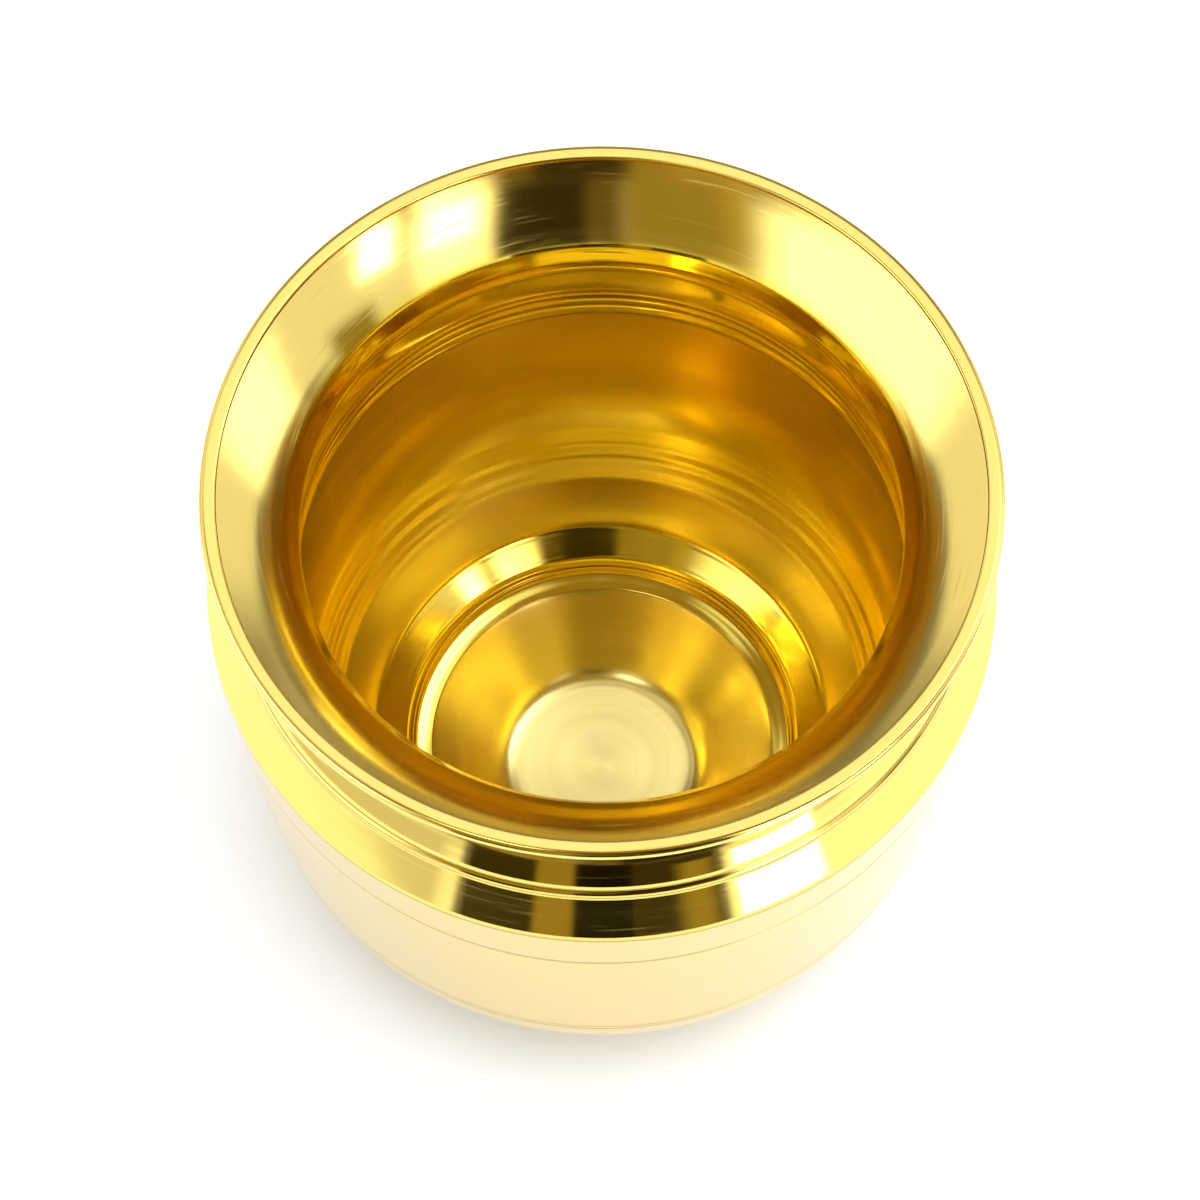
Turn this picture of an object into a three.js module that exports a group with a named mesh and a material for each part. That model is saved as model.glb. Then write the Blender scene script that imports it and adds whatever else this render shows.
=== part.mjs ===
// Small double-walled brass lota (round water vessel).
// Every piece is turned about the vertical axis. Millimetres, +Z up,
// origin at the centre of the surface it stands on.
import * as THREE from 'three';

// ---- driving dimensions -------------------------------------------------
const MOUTH_R = 50.0;        // outer radius of the rolled lip
const RIM_Z = 1.78 * MOUTH_R; // height of the lip's centre plane over the table
const SEGMENTS = 28;         // facets round the axis (a multiple of four)

// The stations below are [radius, height over the lip plane], both in
// units of MOUTH_R.
const LIP_C = 0.977;         // lip roll: centre radius
const LIP_R = 0.023;         // lip roll: outside radius of the roll
const ROLL_IN = 0.0115;      // lip roll: inside radius of the roll
const WIRE_R = 0.0098;       // wire in the roll
const FLARE_T = 0.012;       // sheet of the flare

// ---- helpers ------------------------------------------------------------
// points on the lip circle, angles in degrees from the outward horizontal
function lipArc(radius, a0, a1, n) {
  const out = [];
  for (let i = 0; i < n; i++) {
    const a = THREE.MathUtils.degToRad(a0 + ((a1 - a0) * i) / (n - 1));
    out.push([LIP_C + radius * Math.cos(a), radius * Math.sin(a)]);
  }
  return out;
}

// line parallel to a path, at distance d to its right as the path is walked
function parallel(path, d) {
  return path.map((p, i) => {
    const a = path[Math.max(i - 1, 0)];
    const b = path[Math.min(i + 1, path.length - 1)];
    const l = Math.hypot(b[0] - a[0], b[1] - a[1]);
    return [p[0] + (d * (b[1] - a[1])) / l, p[1] - (d * (b[0] - a[0])) / l];
  });
}

const brass = (hex, roughness) =>
  new THREE.MeshStandardMaterial({ color: hex, metalness: 1.0, roughness });

const lota = new THREE.Group();

// one turned piece from its section; a section that has no point on the
// axis is closed on itself
function turn(name, section, material) {
  let area = 0;
  section.forEach((p, i) => {
    const q = section[(i + 1) % section.length];
    area += p[0] * q[1] - q[0] * p[1];
  });
  const pts = (area > 0 ? section : [...section].reverse()).map(
    ([r, z]) => new THREE.Vector2(r * MOUTH_R, RIM_Z + z * MOUTH_R)
  );
  const onAxis = pts.filter((p) => p.x === 0).length > 0;
  if (onAxis) {
    // start and end on the axis
    while (!(pts[0].x === 0 && pts[pts.length - 1].x === 0)) pts.push(pts.shift());
  } else {
    pts.push(pts[0].clone());
  }
  const geometry = new THREE.LatheGeometry(pts, SEGMENTS);
  const mesh = new THREE.Mesh(geometry, material);
  mesh.name = name;
  mesh.rotation.x = Math.PI / 2;
  lota.add(mesh);
}

// ---- mouth: flare with rolled lip, wire in the roll ----------------------
// upper face of the flare, from the end of the throat skirt out to the lip
const flareTop = [
  [0.7700, -0.2210], [0.7700, -0.2050], [0.7715, -0.1900], [0.7760, -0.1715],
  [0.7850, -0.1495], [0.8000, -0.1265], [0.8300, -0.0915], [0.8660, -0.0560],
  [0.9100, -0.0205], [0.9440, 0.0032],
];
turn('mouth_flare', [
  ...flareTop,
  ...lipArc(LIP_R, 150, -150, 11),
  ...lipArc(ROLL_IN, -150, 175, 9),
  ...parallel(flareTop, FLARE_T).reverse(),
], brass('#f3d263', 0.16));

turn('lip_wire', lipArc(WIRE_R, 0, 315, 8), brass('#d9b24a', 0.35));

turn('neck_braze', [
  [0.7842, -0.1965], [0.8005, -0.1965], [0.7995, -0.1810], [0.7968, -0.1640],
  [0.7890, -0.1755], [0.7850, -0.1910],
], brass('#cfa63e', 0.45));

// ---- neck: turned beads inside, joggled at the top to take the flare ------
turn('neck_ring', [
  // inside face, downwards
  [0.7850, -0.1990], [0.7850, -0.2235], [0.7775, -0.2265], [0.7760, -0.2500],
  [0.7765, -0.3000], [0.7790, -0.3380], [0.7840, -0.3490], [0.7800, -0.3620],
  [0.7870, -0.3810], [0.7820, -0.4000], [0.7880, -0.4240], [0.7850, -0.4480],
  [0.7865, -0.4720], [0.7885, -0.4855],
  // outside face, back up
  [0.8010, -0.4855], [0.8015, -0.4550], [0.8015, -0.3850], [0.7960, -0.3450],
  [0.7925, -0.3000], [0.7935, -0.2420], [0.8010, -0.2340], [0.8010, -0.1990],
], brass('#dba818', 0.24));

turn('belly_braze', [
  [0.8030, -0.4130], [0.8160, -0.4130], [0.8030, -0.3960],
], brass('#cfa63e', 0.45));

// ---- inner belly: collar round the neck, barrel wall, bead at the foot -----
turn('belly_wall', [
  // inside face, from the collar down
  [0.8035, -0.4150], [0.8035, -0.4880], [0.7975, -0.4905], [0.7985, -0.5050],
  [0.8150, -0.6000], [0.8320, -0.7200], [0.8420, -0.8500], [0.8420, -0.9300],
  [0.8350, -1.0000], [0.8220, -1.0600], [0.8000, -1.1250], [0.7770, -1.1720],
  [0.7680, -1.1850], [0.7660, -1.2000], [0.7545, -1.2118],
  // outside face, back up
  [0.7665, -1.2215], [0.7745, -1.2105], [0.7900, -1.1860], [0.8150, -1.1320],
  [0.8375, -1.0660], [0.8510, -1.0030], [0.8580, -0.9350], [0.8580, -0.8500],
  [0.8480, -0.7200], [0.8310, -0.6000], [0.8195, -0.5100], [0.8195, -0.4150],
], brass('#d9a514', 0.28));

turn('bowl_braze', [
  [0.8058, -1.1555], [0.8175, -1.1585], [0.8130, -1.1395],
], brass('#cfa63e', 0.45));

// ---- inner bowl: flange round the belly's foot, bead, bowl, step, ledge -----
turn('inner_bowl', [
  // inside face, downwards
  [0.7530, -1.2140], [0.7510, -1.2320], [0.7360, -1.2490], [0.7280, -1.2650],
  [0.7000, -1.3000], [0.6600, -1.3480], [0.6270, -1.3900], [0.5630, -1.4350],
  [0.5480, -1.4455], [0.5380, -1.4560], [0.5290, -1.4760], [0.5205, -1.4880],
  [0.4790, -1.4965], [0.4768, -1.4985],
  // end of the ledge, then the outside face, back up to the flange
  [0.4775, -1.5105], [0.4830, -1.5117], [0.5250, -1.5025], [0.5345, -1.4965],
  [0.5430, -1.4845], [0.5530, -1.4630], [0.5600, -1.4560], [0.5710, -1.4485],
  [0.6370, -1.4025], [0.6715, -1.3590], [0.7125, -1.3100], [0.7405, -1.2750],
  [0.7620, -1.2560], [0.7880, -1.2280], [0.8070, -1.1960], [0.8225, -1.1620],
  [0.8070, -1.1580], [0.7930, -1.1872], [0.7770, -1.2120], [0.7680, -1.2245],
], brass('#d9a514', 0.28));

// ---- floor: cone-sided dish with a flat centre, lapped under the bowl's ledge -
turn('floor_dish', [
  [0.0000, -1.6660], [0.1000, -1.6650], [0.2000, -1.6625], [0.2600, -1.6600],
  [0.2750, -1.6585], [0.2870, -1.6548], [0.3000, -1.6470], [0.3150, -1.6355],
  [0.3600, -1.5982], [0.4000, -1.5648], [0.4400, -1.5314], [0.4735, -1.5035],
  [0.4745, -1.5140],
  // lap under the bowl
  [0.4830, -1.5147], [0.5255, -1.5057], [0.5372, -1.4988], [0.5462, -1.4858],
  [0.5557, -1.4657], [0.5610, -1.4605], [0.5660, -1.4575],
  // underside
  [0.5735, -1.4715], [0.5690, -1.4760], [0.5597, -1.4934], [0.5465, -1.5112],
  [0.5302, -1.5204], [0.4895, -1.5285], [0.4600, -1.5395], [0.4200, -1.5692],
  [0.3800, -1.6028], [0.3400, -1.6364], [0.3100, -1.6610], [0.2900, -1.6735],
  [0.2700, -1.6775], [0.2000, -1.6805], [0.1000, -1.6835], [0.0000, -1.6845],
], brass('#e6c65c', 0.34));

turn('floor_braze', [
  [0.5705, -1.4525], [0.5960, -1.4335], [0.5755, -1.4690],
], brass('#cfa63e', 0.45));

// ---- outer shoulder --------------------------------------------------------
turn('shoulder_ring', [
  // upper band
  [0.8035, -0.2035], [0.8220, -0.2060], [0.8480, -0.2115], [0.8750, -0.2225],
  [0.8970, -0.2385], [0.9180, -0.2620], [0.9330, -0.2890], [0.9405, -0.3135],
  // ledge
  [0.9425, -0.3175], [0.9510, -0.3235], [0.9545, -0.3330],
  // conical lower band and its edge
  [0.9570, -0.3450], [1.0150, -0.4475], [1.0195, -0.4560], [1.0210, -0.4630],
  [1.0205, -0.4705],
  // flange that laps inside the body
  [1.0005, -0.4715], [0.9955, -0.5450], [0.9805, -0.5450], [0.9850, -0.4270],
  // inside face, back to the neck
  [0.9431, -0.3529], [0.9335, -0.3400], [0.9255, -0.3200], [0.9175, -0.2940],
  [0.9045, -0.2710], [0.8860, -0.2495], [0.8680, -0.2365], [0.8450, -0.2275],
  [0.8200, -0.2220], [0.8035, -0.2195],
], brass('#e9cf6e', 0.14));

turn('collar_braze', [
  [0.8022, -0.2015], [0.8130, -0.2028], [0.8022, -0.1920],
], brass('#cfa63e', 0.45));

// ---- outer body -------------------------------------------------------------
turn('body_shell', [
  [1.0035, -0.4735], [1.0195, -0.4735], [1.0175, -0.5000], [1.0072, -0.6430],
  // scribed line
  [1.0030, -0.6480], [1.0064, -0.6530],
  [1.0000, -0.7400], [0.9840, -0.9500], [0.9730, -1.0800], [0.9610, -1.2225],
  [0.9450, -1.2225], [0.9570, -1.0800], [0.9680, -0.9500], [0.9840, -0.7400],
  [0.9915, -0.6450], [1.0015, -0.5000],
], brass('#f5e39a', 0.2));

turn('shoulder_braze', [
  [0.9815, -0.5475], [0.9965, -0.5475], [0.9955, -0.5680],
], brass('#cfa63e', 0.45));

// ---- base: rounded pan, its flange laps inside the body -----------------------
turn('base_pan', [
  [0.0000, -1.7360], [0.4820, -1.7360], [0.5040, -1.7345], [0.5640, -1.7225],
  [0.6290, -1.7005], [0.7060, -1.6610], [0.7735, -1.6030], [0.8265, -1.5365],
  [0.8655, -1.4710], [0.8920, -1.4140], [0.9100, -1.3740], [0.9240, -1.3350],
  [0.9355, -1.2800], [0.9345, -1.2550], [0.9260, -1.2350], [0.9325, -1.1500],
  [0.9485, -1.1500], [0.9420, -1.2240], [0.9600, -1.2245], [0.9585, -1.2400],
  // second scribed line
  [0.9550, -1.2440], [0.9572, -1.2480],
  [0.9515, -1.2850], [0.9390, -1.3400], [0.9250, -1.3810], [0.9070, -1.4200],
  [0.8800, -1.4780], [0.8400, -1.5450], [0.7850, -1.6150], [0.7150, -1.6740],
  [0.6350, -1.7160], [0.5700, -1.7380], [0.5100, -1.7500], [0.4880, -1.7520],
  [0.0000, -1.7520],
], brass('#efdc94', 0.24));

turn('seam_braze', [
  [0.9335, -1.1480], [0.9495, -1.1480], [0.9515, -1.1280],
], brass('#cfa63e', 0.45));

// ---- foot ---------------------------------------------------------------------
turn('foot_ring', [
  [0.4300, -1.7535], [0.4880, -1.7535], [0.4880, -1.7750], [0.4840, -1.7800],
  [0.4340, -1.7800], [0.4300, -1.7750],
], brass('#e2bf55', 0.3));

turn('foot_braze', [
  [0.4895, -1.7545], [0.5060, -1.7535], [0.4895, -1.7680],
], brass('#cfa63e', 0.45));

export default lota;
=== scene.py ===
# Looks of a small double-walled brass lota: fine turned meshes, brass materials,
# a pale floor and soft studio light. Metres, +Z up, same frame as the CAD model.
import math

import bmesh
import bpy
import numpy as np
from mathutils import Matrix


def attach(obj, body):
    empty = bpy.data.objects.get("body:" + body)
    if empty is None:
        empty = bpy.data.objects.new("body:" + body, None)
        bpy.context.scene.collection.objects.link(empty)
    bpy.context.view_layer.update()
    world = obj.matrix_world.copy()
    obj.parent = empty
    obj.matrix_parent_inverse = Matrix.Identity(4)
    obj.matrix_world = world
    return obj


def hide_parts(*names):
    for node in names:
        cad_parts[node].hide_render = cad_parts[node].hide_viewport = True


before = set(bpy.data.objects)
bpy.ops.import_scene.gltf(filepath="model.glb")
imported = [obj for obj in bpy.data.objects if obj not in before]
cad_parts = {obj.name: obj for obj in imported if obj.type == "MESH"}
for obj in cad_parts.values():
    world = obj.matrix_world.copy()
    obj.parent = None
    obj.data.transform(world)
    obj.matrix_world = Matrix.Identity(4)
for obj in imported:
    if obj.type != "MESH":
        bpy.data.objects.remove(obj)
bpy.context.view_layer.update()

R = 0.050          # outer radius of the rolled lip
BASE = 1.78        # height of the lip plane over the table, in units of R
TURNS = 192        # facets round the axis

# ------------------------------------------------------------------ sections
# Stations are [radius, height over the lip plane] in units of R. A section is
# a list of chains; a chain is a run of points, and chains meet at corners.


def smooth(pts, k=6):
    """Points on a smooth line through pts, k steps in each span."""
    p = np.array(pts, float)
    s = np.r_[0, np.cumsum(np.hypot(*np.diff(p, axis=0).T) ** 0.5)]
    m = np.zeros_like(p)
    d = np.diff(p, axis=0) / np.diff(s)[:, None]
    h = np.diff(s)[:, None]
    m[1:-1] = (d[:-1] * h[1:] + d[1:] * h[:-1]) / (h[1:] + h[:-1])
    m[0], m[-1] = d[0] * 1.5 - m[1] * 0.5, d[-1] * 1.5 - m[-2] * 0.5
    out = []
    for i in range(len(p) - 1):
        t = (np.arange(k) / k)[:, None]
        w = s[i + 1] - s[i]
        out.append((2 * t**3 - 3 * t**2 + 1) * p[i] + (t**3 - 2 * t**2 + t) * w * m[i]
                   + (-2 * t**3 + 3 * t**2) * p[i + 1] + (t**3 - t**2) * w * m[i + 1])
    out.append(p[-1:])
    return np.concatenate(out)


def line(pts, k=1):
    p = np.array(pts, float)
    out = [p[i] + (p[i + 1] - p[i]) * np.arange(k)[:, None] / k for i in range(len(p) - 1)]
    return np.concatenate(out + [p[-1:]])


def arc(c, r, a0, a1, n):
    a = np.radians(np.linspace(a0, a1, n))
    return np.stack([c[0] + r * np.cos(a), c[1] + r * np.sin(a)], 1)


def scribe(path, r=None, z=None, width=0.003, depth=0.0016, side=1.0):
    """Cuts a small rounded groove across a path at radius r or height z."""
    s = np.r_[0, np.cumsum(np.hypot(*np.diff(path, axis=0).T))]
    v = path[:, 0] if r is not None else path[:, 1]
    goal = r if r is not None else z
    i = [j for j in range(len(v) - 1) if (v[j] - goal) * (v[j + 1] - goal) <= 0][0]
    c = s[i] + (s[i + 1] - s[i]) * (goal - v[i]) / (v[i + 1] - v[i])
    extra = c + np.linspace(-1, 1, 9) * width
    t = np.unique(np.r_[s[np.abs(s - c) > 1.3 * width], extra])
    out = np.stack([np.interp(t, s, path[:, k]) for k in (0, 1)], 1)
    g = np.gradient(out, t, axis=0)
    g /= np.hypot(g[:, 0], g[:, 1])[:, None]
    d = depth * np.clip(1 - ((t - c) / width) ** 2, 0, 1)
    return out + side * d[:, None] * np.stack([g[:, 1], -g[:, 0]], 1)


# each listed line gets painted shade in its base colour and a little extra roughness
GROOVES = []       # (radius, height, reach) of dull lines, filled in below


def turned(name, chains, replaces, material):
    """One turned piece from its section."""
    pts, sharp = [], []
    for c in chains:
        c = np.array(c, float)
        if pts and np.hypot(*(pts[-1] - c[0])) < 1e-6:
            c = c[1:]
            sharp.append(len(pts) - 1)
        else:
            sharp.append(len(pts))
        pts.extend(c)
    if np.hypot(*(pts[0] - pts[-1])) < 1e-6:
        pts.pop()
    pts = np.array(pts)
    on_axis = pts[:, 0] < 1e-6
    closed = not on_axis.any()
    sharp = set(sharp) | ({len(pts) - 1} if closed else set())
    x = pts[:, 0] * R
    z = (pts[:, 1] + BASE) * R
    # groove mask for the material: painted shade plus extra roughness near each listed line
    groove_shade_and_matte = np.zeros(len(pts))
    for gr, gz, reach in GROOVES:
        groove_shade_and_matte = np.maximum(groove_shade_and_matte, np.exp(-(((pts[:, 0] - gr) ** 2 + (pts[:, 1] - gz) ** 2) / reach**2)))
    bm = bmesh.new()
    layer = bm.verts.layers.float.new("groove_shade_and_matte")
    a = 2 * math.pi * np.arange(TURNS) / TURNS
    ca, sa = np.cos(a), np.sin(a)
    rings = []
    for i in range(len(pts)):
        if on_axis[i]:
            v = bm.verts.new((0, 0, z[i]))
            v[layer] = groove_shade_and_matte[i]
            rings.append([v])
        else:
            ring = []
            for j in range(TURNS):
                v = bm.verts.new((x[i] * ca[j], x[i] * sa[j], z[i]))
                v[layer] = groove_shade_and_matte[i]
                ring.append(v)
            rings.append(ring)
    n = len(rings)
    for i in range(n if closed else n - 1):
        p, q = rings[i], rings[(i + 1) % n]
        if len(p) == 1 and len(q) == 1:
            continue
        for j in range(TURNS):
            k = (j + 1) % TURNS
            if len(p) == 1:
                f = bm.faces.new((p[0], q[j], q[k]))
            elif len(q) == 1:
                f = bm.faces.new((p[j], q[0], p[k]))
            else:
                f = bm.faces.new((p[j], q[j], q[k], p[k]))
            f.smooth = True
    bm.edges.index_update()
    for i in sharp:
        ring = rings[i % n]
        if len(ring) > 1:
            for j in range(TURNS):
                e = bm.edges.get((ring[j], ring[(j + 1) % TURNS]))
                if e:
                    e.smooth = False
    bmesh.ops.recalc_face_normals(bm, faces=bm.faces)
    me = bpy.data.meshes.new(name)
    bm.to_mesh(me)
    bm.free()
    obj = bpy.data.objects.new(name, me)
    bpy.context.scene.collection.objects.link(obj)
    me.materials.append(material)
    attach(obj, "root")
    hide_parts(replaces)
    return obj


# ----------------------------------------------------------------- materials
def brass(name, tone, worn, rough, marks, relief, streak, coat, hair=0.0, matte=None, ring=None, groove_shade_colour=(0.30, 0.17, 0.03)):
    """Turned brass. tone and worn are two close colours that drift over the
    metal, rough is (low, high), marks the number of tool marks per metre,
    relief their height in metres, streak the stretch of the gloss, hair the
    strength of fine polishing scratches, matte (z from, z to, extra roughness),
    ring (r from, r to, colour) a paler tone outside a radius, painted on as
    glare, and the last argument the colour of painted shade in the grooves."""
    m = bpy.data.materials.new(name)
    m.use_nodes = True
    nt = m.node_tree
    nt.nodes.clear()
    new, ln = nt.nodes.new, nt.links.new
    out = new("ShaderNodeOutputMaterial")
    b = new("ShaderNodeBsdfPrincipled")
    ln(b.outputs[0], out.inputs[0])
    b.inputs["Metallic"].default_value = 1.0
    b.inputs["Anisotropic"].default_value = streak
    b.inputs["Anisotropic Rotation"].default_value = 0.25
    b.inputs["Coat Weight"].default_value = coat
    b.inputs["Coat Roughness"].default_value = 0.08
    b.inputs["Coat IOR"].default_value = 1.5
    tan = new("ShaderNodeTangent")
    tan.direction_type = "RADIAL"
    tan.axis = "Z"
    ln(tan.outputs[0], b.inputs["Tangent"])

    def math_(op, a, c=None):
        n = new("ShaderNodeMath")
        n.operation = op
        for i, v in enumerate((a, c)):
            if v is None:
                continue
            if isinstance(v, (int, float)):
                n.inputs[i].default_value = v
            else:
                ln(v, n.inputs[i])
        return n.outputs[0]

    tc = new("ShaderNodeTexCoord")
    sep = new("ShaderNodeSeparateXYZ")
    ln(tc.outputs["Object"], sep.inputs[0])
    x, y, z = sep.outputs
    r = math_("SQRT", math_("ADD", math_("MULTIPLY", x, x), math_("MULTIPLY", y, y)))
    turn = math_("DIVIDE", math_("ADD", math_("MULTIPLY", x, 0.8), math_("MULTIPLY", y, 0.6)),
                 math_("MAXIMUM", r, 0.0005))

    def rings(per_metre, drift, detail):
        """Noise that runs round the axis."""
        c = new("ShaderNodeCombineXYZ")
        ln(math_("MULTIPLY", r, per_metre), c.inputs[0])
        ln(math_("MULTIPLY", z, per_metre), c.inputs[1])
        ln(math_("MULTIPLY", turn, drift), c.inputs[2])
        n = new("ShaderNodeTexNoise")
        n.inputs["Scale"].default_value = 1.0
        n.inputs["Detail"].default_value = detail
        n.inputs["Roughness"].default_value = 0.6
        ln(c.outputs[0], n.inputs["Vector"])
        return n.outputs[0]

    fine = rings(marks, 0.9, 2.0)
    broad = rings(marks * 0.16, 0.4, 1.5)
    cloud = new("ShaderNodeTexNoise")
    cloud.inputs["Scale"].default_value = 55.0
    cloud.inputs["Detail"].default_value = 3.0
    ln(tc.outputs["Object"], cloud.inputs["Vector"])
    groove_shade_and_matte = new("ShaderNodeAttribute")
    groove_shade_and_matte.attribute_name = "groove_shade_and_matte"

    # colour: two tones of the alloy, then painted shade darkening the grooves and joints
    mix = new("ShaderNodeMix")
    mix.data_type = "RGBA"
    f = math_("ADD", math_("MULTIPLY", cloud.outputs[0], 0.7), math_("MULTIPLY", broad, 0.5))
    ramp = new("ShaderNodeMapRange")
    ramp.inputs["From Min"].default_value = 0.35
    ramp.inputs["From Max"].default_value = 0.85
    ln(f, ramp.inputs["Value"])
    ln(ramp.outputs[0], mix.inputs["Factor"])
    mix.inputs["A"].default_value = (*tone, 1)
    mix.inputs["B"].default_value = (*worn, 1)
    tint = mix.outputs["Result"]
    # painted glare: outside the radius the metal takes a paler, whiter tone that stands for the pale look of brightly
    # lit brass
    if ring:
        t = new("ShaderNodeMapRange")
        t.interpolation_type = "SMOOTHSTEP"
        t.inputs["From Min"].default_value = ring[0]
        t.inputs["From Max"].default_value = ring[1]
        ln(r, t.inputs["Value"])
        painted_glare_mix = new("ShaderNodeMix")
        painted_glare_mix.data_type = "RGBA"
        ln(t.outputs[0], painted_glare_mix.inputs["Factor"])
        ln(tint, painted_glare_mix.inputs["A"])
        painted_glare_mix.inputs["B"].default_value = (*ring[2], 1)
        tint = painted_glare_mix.outputs["Result"]
    # painted shade: the groove mask pulls the base colour towards dark brown along grooves and joints
    groove_shade_mix = new("ShaderNodeMix")
    groove_shade_mix.data_type = "RGBA"
    ln(math_("MULTIPLY", groove_shade_and_matte.outputs["Fac"], 0.75), groove_shade_mix.inputs["Factor"])
    ln(tint, groove_shade_mix.inputs["A"])
    groove_shade_mix.inputs["B"].default_value = (*groove_shade_colour, 1)
    ln(groove_shade_mix.outputs["Result"], b.inputs["Base Color"])

    # roughness follows the tool marks
    rr = new("ShaderNodeMapRange")
    rr.inputs["From Min"].default_value = 0.30
    rr.inputs["From Max"].default_value = 0.70
    rr.inputs["To Min"].default_value = rough[0]
    rr.inputs["To Max"].default_value = rough[1]
    ln(math_("ADD", math_("MULTIPLY", fine, 0.45), math_("MULTIPLY", broad, 0.55)), rr.inputs["Value"])
    gloss = math_("ADD", rr.outputs[0], math_("MULTIPLY", groove_shade_and_matte.outputs["Fac"], 0.15))
    if hair:
        h = new("ShaderNodeMapRange")
        h.inputs["From Min"].default_value = 0.60
        h.inputs["From Max"].default_value = 0.74
        h.inputs["To Max"].default_value = hair
        ln(rings(marks * 0.5, 6.0, 1.0), h.inputs["Value"])
        gloss = math_("ADD", gloss, h.outputs[0])
    if matte:
        t = new("ShaderNodeMapRange")
        t.interpolation_type = "SMOOTHSTEP"
        t.inputs["From Min"].default_value = matte[0]
        t.inputs["From Max"].default_value = matte[1]
        t.inputs["To Max"].default_value = matte[2]
        ln(z, t.inputs["Value"])
        gloss = math_("ADD", gloss, t.outputs[0])
    ln(gloss, b.inputs["Roughness"])

    bump = new("ShaderNodeBump")
    bump.inputs["Strength"].default_value = 1.0
    bump.inputs["Distance"].default_value = relief
    ln(math_("ADD", math_("MULTIPLY", fine, 0.5), math_("MULTIPLY", broad, 1.0)), bump.inputs["Height"])
    ln(bump.outputs[0], b.inputs["Normal"])
    return m


# the flare's paler tone outside about 0.8 R is painted glare on the cone and lip
FLARE = brass("brass_flare", (0.87, 0.66, 0.08), (0.84, 0.62, 0.06), (0.03, 0.07), 4200, 1.2e-6, 0.75, 0.0, hair=0.11,
              matte=((BASE - 0.150) * R, (BASE - 0.115) * R, 0.07), ring=(0.785 * R, 0.820 * R, (0.86, 0.66, 0.18)))
BRIGHT = brass("brass_bright", (0.87, 0.66, 0.17), (0.84, 0.62, 0.14), (0.05, 0.10), 4200, 0.8e-6, 0.6, 0.0, hair=0.06)
NECK = brass("brass_neck", (0.87, 0.66, 0.08), (0.84, 0.62, 0.06), (0.05, 0.10), 3600, 0.6e-6, 0.45, 0.0)
TURNED = brass("brass_turned", (0.84, 0.62, 0.07), (0.80, 0.58, 0.055), (0.15, 0.24), 3000, 2.4e-6, 0.7, 0.0)
BOWL = brass("brass_bowl", (0.86, 0.66, 0.12), (0.83, 0.62, 0.10), (0.07, 0.12), 3000, 0.9e-6, 0.6, 0.0,
             matte=((BASE - 1.396) * R, (BASE - 1.372) * R, 0.14))
# the floor dish's pale, whitish tone is painted light: it stands for the bright reflection of the light above and
# behind on the disc
FLOOR = brass("brass_floor", (0.92, 0.77, 0.31), (0.90, 0.74, 0.27), (0.17, 0.24), 2600, 2.4e-6, 0.6, 0.0)
SATIN = brass("brass_satin", (0.755, 0.555, 0.142), (0.735, 0.525, 0.128), (0.12, 0.20), 3800, 1.2e-6, 0.45, 0.35)
FOOT = brass("brass_foot", (0.80, 0.60, 0.18), (0.72, 0.52, 0.14), (0.26, 0.42), 2600, 4.0e-6, 0.4, 0.2)
WIRE = brass("brass_wire", (0.74, 0.55, 0.18), (0.66, 0.47, 0.14), (0.30, 0.45), 5000, 3.0e-6, 0.3, 0.0)
FILLER = brass("brass_filler", (0.64, 0.44, 0.10), (0.52, 0.34, 0.07), (0.36, 0.55), 1500, 3.0e-5, 0.0, 0.0)

# -------------------------------------------------------------------- pieces
LIP = (0.977, 0.0)

# lines with painted shade and extra roughness: radius, height, reach
GROOVES += [
    (0.7650, -0.2210, 0.0040), (0.7770, -0.2330, 0.0110),
    (0.7840, -0.3490, 0.0055), (0.7860, -0.3810, 0.0060), (0.7830, -0.4110, 0.0050), (0.7880, -0.4240, 0.0045),
    (0.7860, -0.4670, 0.0060),
    (0.7890, -0.4860, 0.0040), (0.7975, -0.4910, 0.0050),
    (0.5345, -1.4640, 0.0030), (0.5200, -1.4878, 0.0030),
    (0.9472, -0.3185, 0.0025), (0.9568, -0.3400, 0.0025),
    (1.0206, -0.4660, 0.0050), (1.0195, -0.4740, 0.0020), (1.0060, -0.6480, 0.0016),
    (0.9610, -1.2225, 0.0025), (0.9600, -1.2245, 0.0025), (0.9560, -1.2440, 0.0025),
]

# flare: throat skirt, throat, cone, rolled lip with a flattened top, underside
top = smooth([(0.7650, -0.2210), (0.7630, -0.2120), (0.7622, -0.2040), (0.7624, -0.1970), (0.7632, -0.1915), (0.7650, -0.1862),
              (0.7674, -0.1813), (0.7744, -0.1688), (0.7814, -0.1563), (0.7868, -0.1467), (0.7900, -0.1412), (0.7945, -0.1345),
              (0.8010, -0.1260), (0.8100, -0.1150), (0.8300, -0.0915), (0.8660, -0.0560), (0.9100, -0.0205), (0.9440, 0.0032),
              (0.9565, 0.0115)], 7)
g = np.gradient(top, axis=0)
g /= np.hypot(g[:, 0], g[:, 1])[:, None]
under = (top + 0.012 * np.stack([g[:, 1], -g[:, 0]], 1))[:-12:3]
roll = smooth([(0.9565, 0.0115), (0.9570, 0.0170), (0.9590, 0.0203), (0.9630, 0.0217), (0.9700, 0.0223), (0.9775, 0.0226),
               (0.9840, 0.0228), (0.9890, 0.0222), (0.9935, 0.0203), (0.9970, 0.0170), (0.9990, 0.0128), (1.0000, 0.0080),
               (0.9994, 0.0030), (0.9975, -0.0020), (0.9940, -0.0065), (0.9890, -0.0105), (0.9830, -0.0140), (0.9760, -0.0163),
               (0.9690, -0.0165), (0.9630, -0.0149), (0.9571, -0.0115)], 4)
turned("mouth_flare_fine", [
    top, roll, arc(LIP, 0.0115, -150, 175, 25), under[::-1], top[:1],
], "mouth_flare", FLARE)
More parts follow.
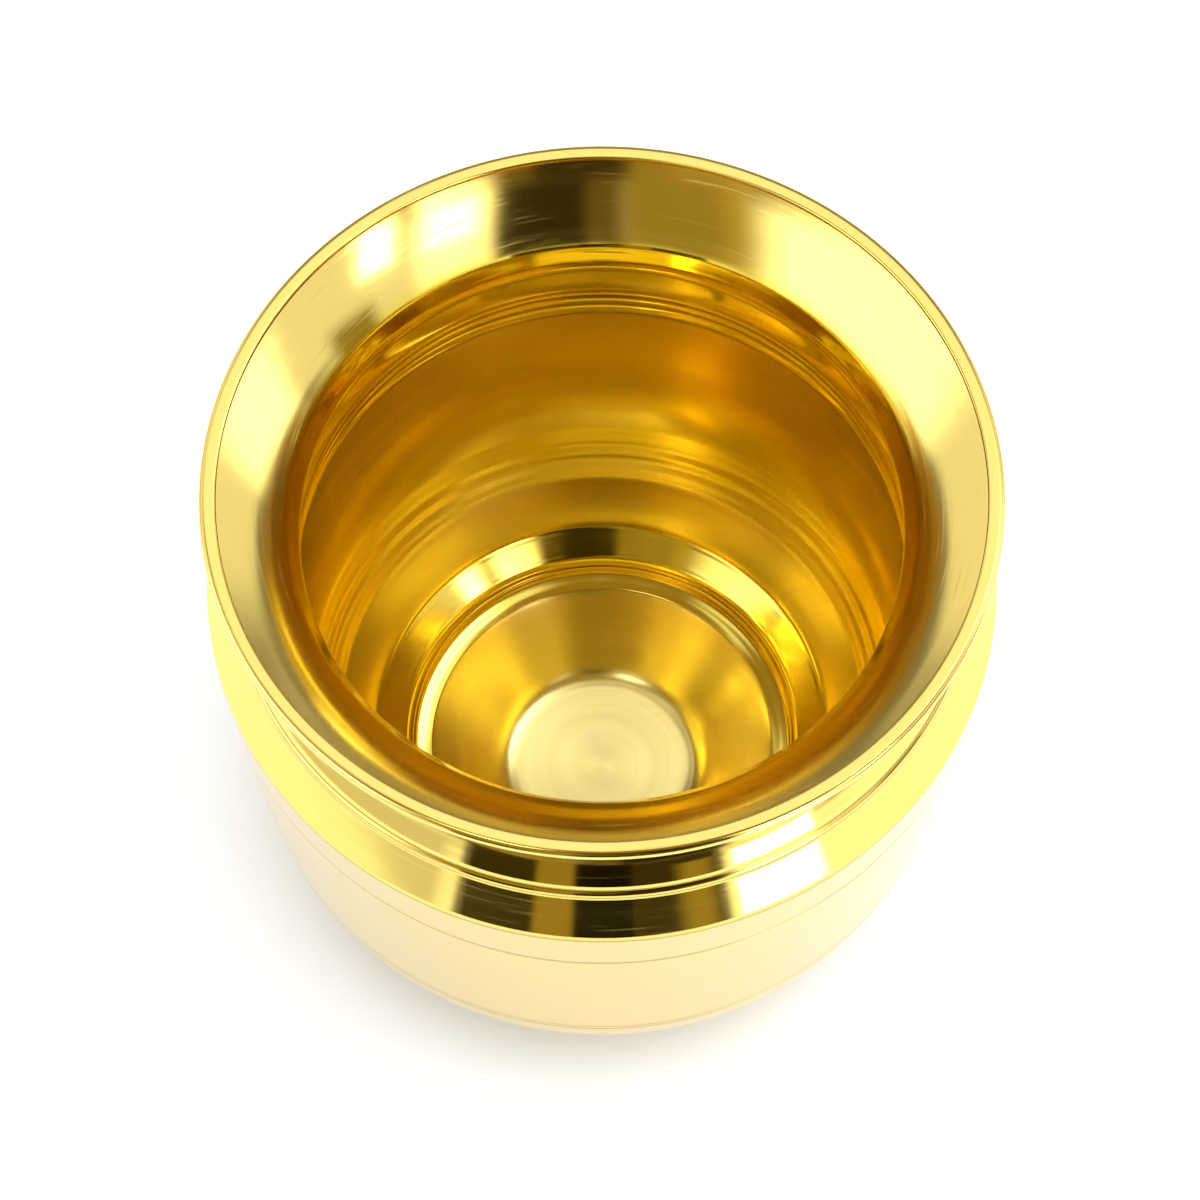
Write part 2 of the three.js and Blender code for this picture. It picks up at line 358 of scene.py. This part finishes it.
turned("lip_wire_fine", [np.concatenate([arc(LIP, 0.0098, 0, 345, 24)])], "lip_wire", WIRE)
turned("neck_braze_fine", [
    line([(0.7842, -0.1965), (0.8005, -0.1965)], 3),
    smooth([(0.8005, -0.1965), (0.7978, -0.1840), (0.7963, -0.1740), (0.7968, -0.1640)], 3),
    line([(0.7968, -0.1640), (0.7890, -0.1755), (0.7850, -0.1910), (0.7842, -0.1965)], 2),
], "neck_braze", FILLER)

# neck with its turned beads
turned("neck_ring_fine", [
    line([(0.7850, -0.1990), (0.7850, -0.2235)], 3),
    line([(0.7850, -0.2235), (0.7785, -0.2255)], 2),
    smooth([(0.7785, -0.2255), (0.7764, -0.2330), (0.7760, -0.2500), (0.7763, -0.3000), (0.7785, -0.3360), (0.7800, -0.3440)], 6),
    smooth([(0.7800, -0.3440), (0.7838, -0.3485), (0.7830, -0.3525)], 4),
    smooth([(0.7830, -0.3525), (0.7803, -0.3575), (0.7798, -0.3640), (0.7818, -0.3720), (0.7868, -0.3805)], 5),
    smooth([(0.7868, -0.3805), (0.7828, -0.3890), (0.7815, -0.4000), (0.7835, -0.4130), (0.7878, -0.4235)], 5),
    smooth([(0.7878, -0.4235), (0.7852, -0.4330), (0.7845, -0.4480), (0.7853, -0.4640), (0.7868, -0.4760), (0.7895, -0.4845)], 5),
    line([(0.7895, -0.4845), (0.7905, -0.4855), (0.8010, -0.4855)], 2),
    line([(0.8010, -0.4855), (0.8015, -0.4550), (0.8015, -0.3850)], 2),
    smooth([(0.8015, -0.3850), (0.7960, -0.3450), (0.7925, -0.3000), (0.7935, -0.2420), (0.8010, -0.2340)], 4),
    line([(0.8010, -0.2340), (0.8010, -0.1990), (0.7850, -0.1990)], 3),
], "neck_ring", NECK)
turned("belly_braze_fine", [
    line([(0.8030, -0.4130), (0.8160, -0.4130)], 3),
    smooth([(0.8160, -0.4130), (0.8092, -0.4095), (0.8050, -0.4040), (0.8030, -0.3960)], 3),
    line([(0.8030, -0.3960), (0.8030, -0.4130)], 3),
], "belly_braze", FILLER)

# belly: collar, barrel wall, bead at its foot
turned("belly_wall_fine", [
    line([(0.8035, -0.4150), (0.8035, -0.4880)], 4),
    line([(0.8035, -0.4880), (0.7985, -0.4895)], 2),
    smooth([(0.7985, -0.4895), (0.7976, -0.4940), (0.7985, -0.5050), (0.8150, -0.6000), (0.8320, -0.7200), (0.8420, -0.8500),
            (0.8420, -0.9300), (0.8350, -1.0000), (0.8220, -1.0600), (0.8000, -1.1250), (0.7872, -1.1500), (0.7791, -1.1650),
            (0.7715, -1.1780), (0.7661, -1.1900), (0.7613, -1.2010), (0.7546, -1.2118)], 9),
    line([(0.7546, -1.2118), (0.7665, -1.2215)], 2),
    smooth([(0.7665, -1.2215), (0.7745, -1.2105), (0.7900, -1.1860), (0.8150, -1.1320), (0.8375, -1.0660), (0.8510, -1.0030),
            (0.8580, -0.9350), (0.8580, -0.8500), (0.8480, -0.7200), (0.8310, -0.6000), (0.8195, -0.5100)], 3),
    line([(0.8195, -0.5100), (0.8195, -0.4150), (0.8035, -0.4150)], 3),
], "belly_wall", TURNED)
turned("bowl_braze_fine", [
    line([(0.8058, -1.1555), (0.8175, -1.1585)], 3),
    smooth([(0.8175, -1.1585), (0.8140, -1.1530), (0.8127, -1.1465), (0.8130, -1.1395)], 3),
    line([(0.8130, -1.1395), (0.8058, -1.1555)], 3),
], "bowl_braze", FILLER)

# bowl: flange round the belly's foot, bead, bowl, step, ledge
turned("inner_bowl_fine", [
    smooth([(0.7543, -1.2122), (0.7476, -1.2230), (0.7428, -1.2340), (0.7374, -1.2460), (0.7298, -1.2590),
            (0.7218, -1.2740), (0.7000, -1.3000), (0.6600, -1.3490), (0.6330, -1.3852), (0.6240, -1.3946), (0.6100, -1.4030),
            (0.5890, -1.4154), (0.5630, -1.4307), (0.5490, -1.4392), (0.5440, -1.4445), (0.5385, -1.4535), (0.5345, -1.4640)], 7),
    smooth([(0.5345, -1.4640), (0.5310, -1.4665), (0.5280, -1.4715), (0.5262, -1.4775), (0.5235, -1.4835), (0.5200, -1.4878)], 5),
    smooth([(0.5200, -1.4878), (0.5100, -1.4902), (0.4950, -1.4935), (0.4800, -1.4976)], 5),
    smooth([(0.4800, -1.4976), (0.4772, -1.4988), (0.4765, -1.5003)], 4),
    line([(0.4765, -1.5003), (0.4775, -1.5105), (0.4830, -1.5117)], 2),
    line([(0.4830, -1.5117), (0.5250, -1.5025)], 3),
    smooth([(0.5250, -1.5025), (0.5345, -1.4965), (0.5430, -1.4845), (0.5530, -1.4630), (0.5600, -1.4560), (0.5710, -1.4485),
            (0.6370, -1.4025), (0.6715, -1.3590), (0.7125, -1.3100), (0.7405, -1.2750), (0.7620, -1.2560), (0.7880, -1.2280),
            (0.8070, -1.1960), (0.8225, -1.1620)], 3),
    line([(0.8225, -1.1620), (0.8070, -1.1580)], 2),
    line([(0.8070, -1.1580), (0.7930, -1.1872), (0.7770, -1.2120), (0.7680, -1.2245)], 3),
    line([(0.7680, -1.2245), (0.7543, -1.2122)], 2),
], "inner_bowl", BOWL)

# floor: dish with a flat centre, lap under the ledge
turned("floor_dish_fine", [
    smooth([(0.0000, -1.6735), (0.0500, -1.6730), (0.1000, -1.6716), (0.1500, -1.6693), (0.2000, -1.6660), (0.2400, -1.6626),
            (0.2550, -1.6602), (0.2680, -1.6576), (0.2820, -1.6528), (0.2960, -1.6455), (0.3100, -1.6358), (0.3250, -1.6241),
            (0.3600, -1.5956), (0.4000, -1.5626), (0.4400, -1.5296), (0.4660, -1.5082), (0.4758, -1.5010)], 6),
    line([(0.4758, -1.5010), (0.4766, -1.5130), (0.4830, -1.5147), (0.5255, -1.5057)], 2),
    smooth([(0.5255, -1.5057), (0.5372, -1.4988), (0.5462, -1.4858), (0.5557, -1.4657), (0.5610, -1.4605), (0.5660, -1.4575)], 3),
    line([(0.5660, -1.4575), (0.5735, -1.4715)], 2),
    smooth([(0.5735, -1.4715), (0.5690, -1.4760), (0.5597, -1.4934), (0.5465, -1.5112), (0.5302, -1.5204)], 3),
    line([(0.5302, -1.5204), (0.4895, -1.5285)], 3),
    smooth([(0.4895, -1.5285), (0.4600, -1.5390), (0.4200, -1.5690), (0.3800, -1.6025), (0.3400, -1.6360), (0.3100, -1.6600),
            (0.2900, -1.6725), (0.2700, -1.6765), (0.2000, -1.6800), (0.1000, -1.6830), (0.0, -1.6840)], 4),
], "floor_dish", FLOOR)
turned("floor_braze_fine", [
    smooth([(0.5705, -1.4525), (0.5830, -1.4432), (0.5960, -1.4335)], 3),
    smooth([(0.5960, -1.4335), (0.5835, -1.4490), (0.5780, -1.4590), (0.5755, -1.4690)], 3),
    line([(0.5755, -1.4690), (0.5705, -1.4525)], 3),
], "floor_braze", FILLER)

# shoulder: upper band, ledge, conical band, edge, lap flange
turned("shoulder_ring_fine", [
    smooth([(0.8035, -0.2035), (0.8220, -0.2060), (0.8480, -0.2115), (0.8750, -0.2225), (0.8970, -0.2385), (0.9180, -0.2620),
            (0.9310, -0.2825), (0.9430, -0.3020), (0.9458, -0.3090), (0.9466, -0.3170)], 7),
    smooth([(0.9466, -0.3170), (0.9478, -0.3198), (0.9500, -0.3215), (0.9540, -0.3255), (0.9566, -0.3300), (0.9574, -0.3360)], 4),
    smooth([(0.9574, -0.3360), (0.9566, -0.3395), (0.9574, -0.3425), (0.9590, -0.3480)], 3),
    line([(0.9590, -0.3480), (1.0150, -0.4475)], 10),
    smooth([(1.0150, -0.4475), (1.0182, -0.4535), (1.0198, -0.4580), (1.0206, -0.4620), (1.0208, -0.4660), (1.0205, -0.4705)], 4),
    line([(1.0205, -0.4705), (1.0005, -0.4715)], 3),
    line([(1.0005, -0.4715), (0.9955, -0.5450)], 4),
    line([(0.9955, -0.5450), (0.9805, -0.5450)], 2),
    line([(0.9805, -0.5450), (0.9850, -0.4270)], 4),
    smooth([(0.9850, -0.4270), (0.9640, -0.3900), (0.9431, -0.3529), (0.9335, -0.3400), (0.9255, -0.3200), (0.9175, -0.2940),
            (0.9045, -0.2710), (0.8860, -0.2495), (0.8680, -0.2365), (0.8450, -0.2275), (0.8200, -0.2220), (0.8035, -0.2195)], 3),
    line([(0.8035, -0.2195), (0.8035, -0.2035)], 2),
], "shoulder_ring", BRIGHT)
turned("collar_braze_fine", [
    line([(0.8022, -0.2015), (0.8130, -0.2028)], 3),
    smooth([(0.8130, -0.2028), (0.8075, -0.2000), (0.8040, -0.1965), (0.8022, -0.1920)], 3),
    line([(0.8022, -0.1920), (0.8022, -0.2015)], 3),
], "collar_braze", FILLER)

# body with its scribed line
wall = smooth([(1.0190, -0.4745), (1.0175, -0.5000), (1.0070, -0.6480), (1.0000, -0.7400), (0.9840, -0.9500), (0.9730, -1.0800),
               (0.9612, -1.2205)], 10)
turned("body_shell_fine", [
    scribe(wall, z=-0.648, width=0.0030, depth=0.0014, side=1.0),
    line([(0.9612, -1.2205), (0.9600, -1.2225), (0.9450, -1.2225)], 2),
    smooth([(0.9450, -1.2225), (0.9570, -1.0800), (0.9680, -0.9500), (0.9840, -0.7400), (0.9915, -0.6450), (1.0015, -0.5000),
            (1.0035, -0.4735)], 4),
    line([(1.0035, -0.4735), (1.0180, -0.4735), (1.0190, -0.4745)], 2),
], "body_shell", SATIN)
turned("shoulder_braze_fine", [
    line([(0.9815, -0.5475), (0.9965, -0.5475)], 3),
    line([(0.9965, -0.5475), (0.9955, -0.5680)], 3),
    smooth([(0.9955, -0.5680), (0.9935, -0.5580), (0.9885, -0.5515), (0.9815, -0.5475)], 3),
], "shoulder_braze", FILLER)

# base pan
low = smooth([(0.9597, -1.2265), (0.9575, -1.2440), (0.9515, -1.2850), (0.9390, -1.3400), (0.9250, -1.3810), (0.9070, -1.4200),
              (0.8800, -1.4780), (0.8400, -1.5450), (0.7850, -1.6150), (0.7150, -1.6740), (0.6350, -1.7160), (0.5700, -1.7380),
              (0.5100, -1.7500), (0.4880, -1.7520)], 7)
turned("base_pan_fine", [
    line([(0.0, -1.7360), (0.4820, -1.7360)], 6),
    smooth([(0.4820, -1.7360), (0.5040, -1.7345), (0.5640, -1.7225), (0.6290, -1.7005), (0.7060, -1.6610), (0.7735, -1.6030),
            (0.8265, -1.5365), (0.8655, -1.4710), (0.8920, -1.4140), (0.9100, -1.3740), (0.9240, -1.3350), (0.9355, -1.2800),
            (0.9345, -1.2550), (0.9260, -1.2350)], 3),
    line([(0.9260, -1.2350), (0.9325, -1.1500)], 3),
    line([(0.9325, -1.1500), (0.9485, -1.1500)], 2),
    line([(0.9485, -1.1500), (0.9420, -1.2240)], 3),
    line([(0.9420, -1.2240), (0.9590, -1.2245), (0.9597, -1.2265)], 2),
    scribe(low, z=-1.244, width=0.0025, depth=0.0015, side=1.0),
    line([(0.4880, -1.7520), (0.0, -1.7520)], 6),
], "base_pan", SATIN)
turned("seam_braze_fine", [
    line([(0.9335, -1.1480), (0.9495, -1.1480)], 3),
    line([(0.9495, -1.1480), (0.9515, -1.1280)], 3),
    smooth([(0.9515, -1.1280), (0.9480, -1.1380), (0.9420, -1.1445), (0.9335, -1.1480)], 3),
], "seam_braze", FILLER)

# foot
turned("foot_ring_fine", [
    line([(0.4300, -1.7535), (0.4880, -1.7535)], 3),
    line([(0.4880, -1.7535), (0.4880, -1.7740)], 3),
    smooth([(0.4880, -1.7740), (0.4872, -1.7775), (0.4840, -1.7800)], 4),
    line([(0.4840, -1.7800), (0.4340, -1.7800)], 4),
    smooth([(0.4340, -1.7800), (0.4308, -1.7775), (0.4300, -1.7740)], 4),
    line([(0.4300, -1.7740), (0.4300, -1.7535)], 3),
], "foot_ring", FOOT)
turned("foot_braze_fine", [
    line([(0.4895, -1.7545), (0.5060, -1.7535)], 3),
    smooth([(0.5060, -1.7535), (0.4970, -1.7575), (0.4920, -1.7625), (0.4895, -1.7680)], 3),
    line([(0.4895, -1.7680), (0.4895, -1.7545)], 3),
], "foot_braze", FILLER)


# -------------------------------------------------------------------- studio
def plain(name, colour, rough):
    m = bpy.data.materials.new(name)
    m.use_nodes = True
    nt = m.node_tree
    b = nt.nodes["Principled BSDF"]
    b.inputs["Roughness"].default_value = rough
    n = nt.nodes.new("ShaderNodeTexNoise")
    n.inputs["Scale"].default_value = 6.0
    mix = nt.nodes.new("ShaderNodeMix")
    mix.data_type = "RGBA"
    mix.inputs["A"].default_value = (*colour, 1)
    mix.inputs["B"].default_value = (*[c * 0.985 for c in colour], 1)
    nt.links.new(n.outputs[0], mix.inputs["Factor"])
    nt.links.new(mix.outputs["Result"], b.inputs["Base Color"])
    return m


def card(name, az, el, rad, colour, strength=1.0, soft=(2.0, 2.0), n=40, lean=0.0):
    """A curved studio card round the pot: az in degrees from the front (-Y),
    positive to +X, el in degrees over the height of the rim, soft the width in
    degrees over which its edges fade, lean the shift of az per degree of el."""
    v, f, w = [], [], []
    for i in range(n + 1):
        ed = el[0] + (el[1] - el[0]) * i / n
        e = math.radians(ed)
        for j in range(n + 1):
            ad = az[0] + (az[1] - az[0]) * j / n
            a = math.radians(ad + lean * (ed - (el[0] + el[1]) / 2))
            v.append((rad * math.cos(e) * math.sin(a), -rad * math.cos(e) * math.cos(a), 0.07 + rad * math.sin(e)))
            u = min(1.0, min(ad - az[0], az[1] - ad) / soft[0], min(ed - el[0], el[1] - ed) / soft[1])
            u = max(u, 0.0)
            w.append(u * u * (3 - 2 * u))
    for i in range(n):
        for j in range(n):
            a = i * (n + 1) + j
            f.append((a, a + 1, a + n + 2, a + n + 1))
    me = bpy.data.meshes.new(name)
    me.from_pydata(v, [], f)
    at = me.attributes.new("edge", "FLOAT", "POINT")
    at.data.foreach_set("value", w)
    m = bpy.data.materials.new(name)
    m.use_nodes = True
    nt = m.node_tree
    nt.nodes.clear()
    e = nt.nodes.new("ShaderNodeEmission")
    e.inputs[0].default_value = (*colour, 1)
    e.inputs[1].default_value = strength
    t = nt.nodes.new("ShaderNodeBsdfTransparent")
    k = nt.nodes.new("ShaderNodeAttribute")
    k.attribute_name = "edge"
    mix = nt.nodes.new("ShaderNodeMixShader")
    o = nt.nodes.new("ShaderNodeOutputMaterial")
    nt.links.new(k.outputs["Fac"], mix.inputs[0])
    nt.links.new(t.outputs[0], mix.inputs[1])
    nt.links.new(e.outputs[0], mix.inputs[2])
    nt.links.new(mix.outputs[0], o.inputs[0])
    me.materials.append(m)
    ob = bpy.data.objects.new(name, me)
    bpy.context.scene.collection.objects.link(ob)
    ob.visible_camera = False
    ob.visible_diffuse = False
    ob.visible_shadow = False
    return ob


floor_mesh = bpy.data.meshes.new("floor")
floor_mesh.from_pydata([(-4, -4, 0), (4, -4, 0), (4, 4, 0), (-4, 4, 0)], [], [(0, 1, 2, 3)])
floor = bpy.data.objects.new("floor", floor_mesh)
bpy.context.scene.collection.objects.link(floor)
floor_mesh.materials.append(plain("floor_white", (0.90, 0.94, 1.0), 0.7))

world = bpy.data.worlds.new("studio")
bpy.context.scene.world = world
world.use_nodes = True
world.node_tree.nodes["Background"].inputs[0].default_value = (1, 1, 1, 1)
world.node_tree.nodes["Background"].inputs[1].default_value = 1.05

WHITE = (1.0, 1.0, 1.0)
TAUPE = (1.0, 0.94, 0.80)
OCHRE = (0.68, 0.53, 0.12)
BROWN = (0.36, 0.27, 0.06)
UMBER = (0.15, 0.11, 0.03)
DARK = (0.035, 0.026, 0.008)
TAN = (0.34, 0.23, 0.05)

# dim ceiling
card("card_ceiling", (-180, 180), (49, 98), 1.30, TAN, 1.0, (0.01, 7), 60)
# dark side of the studio, in front and high
card("card_high_a", (-46, -18), (12, 62), 1.22, OCHRE, 1.0, (9, 8))
card("card_high_b", (-46, 6), (12, 62), 1.20, BROWN, 1.0, (17, 8))
card("card_high_c", (-10, 33), (12, 62), 1.18, UMBER, 1.0, (8, 8))
card("card_high_d", (2, 31), (12, 58), 1.16, DARK, 1.0, (5, 8))
card("card_high_e", (-11, 24), (53.5, 68), 1.15, DARK, 1.0, (7, 2))
# the same side, low: panels with gaps
card("card_low_a", (-31, 27), (-16, 18), 0.345, UMBER, 0.32, (2, 4))
card("card_low_b", (-15, -5), (-16, 18), 0.343, BROWN, 1.0, (2, 4))
card("card_low_c", (-6, 7), (-16, 18), 0.341, DARK, 0.32, (1.5, 4))
card("card_low_d", (14, 26), (-16, 8), 0.342, BROWN, 1.0, (5, 4))
card("card_low_e", (27.5, 48), (-16, 8), 0.340, WHITE, 8.0, (2, 4))
card("card_low_f", (-80, -32), (-16, 10), 0.350, WHITE, 0.85, (4, 4))
# soft boxes
card("card_right_box", (28, 56), (10, 60), 1.14, WHITE, 2.2, (10, 8))
card("card_right_high", (31, 54), (30, 56), 1.12, WHITE, 6.0, (8, 8))
card("card_right_spot", (57, 71), (34, 54), 1.12, WHITE, 8.0, (5, 6))
card("card_right_dark", (63, 83), (3, 25), 1.13, BROWN, 0.9, (6, 7))
card("card_right_far", (92, 120), (5, 44), 1.14, WHITE, 2.8, (8, 8))
card("card_left_box", (-112, -42), (3, 54), 1.14, WHITE, 2.6, (14, 6))
card("card_left_high", (-62, -18), (63, 79), 1.18, WHITE, 3.0, (7, 4))
# back of the studio: dim below, a long soft box above
card("card_horizon", (52, 308), (0, 10), 1.26, TAUPE, 0.2, (6, 3), 60)
card("card_back_low", (132, 222), (8, 52), 1.24, TAUPE, 0.34, (16, 4))
card("card_back_top", (108, 219), (50, 84), 1.20, WHITE, 1.35, (6, 5))
card("card_back_strip", (120, 137), (52, 77), 1.10, WHITE, 7.0, (5, 5), lean=-1.35)
card("card_left_top", (-128, -106), (64, 79), 1.20, WHITE, 1.2, (6, 5))

# overhead lamp that lifts the floor to white
lamp_data = bpy.data.lights.new("lamp", "AREA")
lamp_data.shape = "DISK"
lamp_data.size = 1.2
lamp_data.energy = 12.0
lamp = bpy.data.objects.new("lamp", lamp_data)
bpy.context.scene.collection.objects.link(lamp)
lamp.location = (0.30, -0.10, 1.25)
lamp.rotation_euler = (math.atan2(0.10, 1.25), math.atan2(0.30, math.hypot(0.10, 1.25)), 0.0)
lamp.visible_glossy = False
lamp.visible_camera = False

# -------------------------------------------------------------------- camera
cam_data = bpy.data.cameras.new("camera")
cam = bpy.data.objects.new("camera", cam_data)
bpy.context.scene.collection.objects.link(cam)
cam_data.sensor_width = 36.0
cam_data.lens = 4000.0 / 1200.0 * 36.0
cam_data.shift_x = (600.0 - 602.0) / 1200.0
cam_data.clip_start = 0.01
cam.location = (0.0, -4.691 * R, (8.750 + BASE) * R)
cam.rotation_euler = (math.pi / 2 - math.radians(63.40), 0.0, 0.0)
bpy.context.scene.camera = cam
bpy.context.scene.view_settings.view_transform = "Standard"
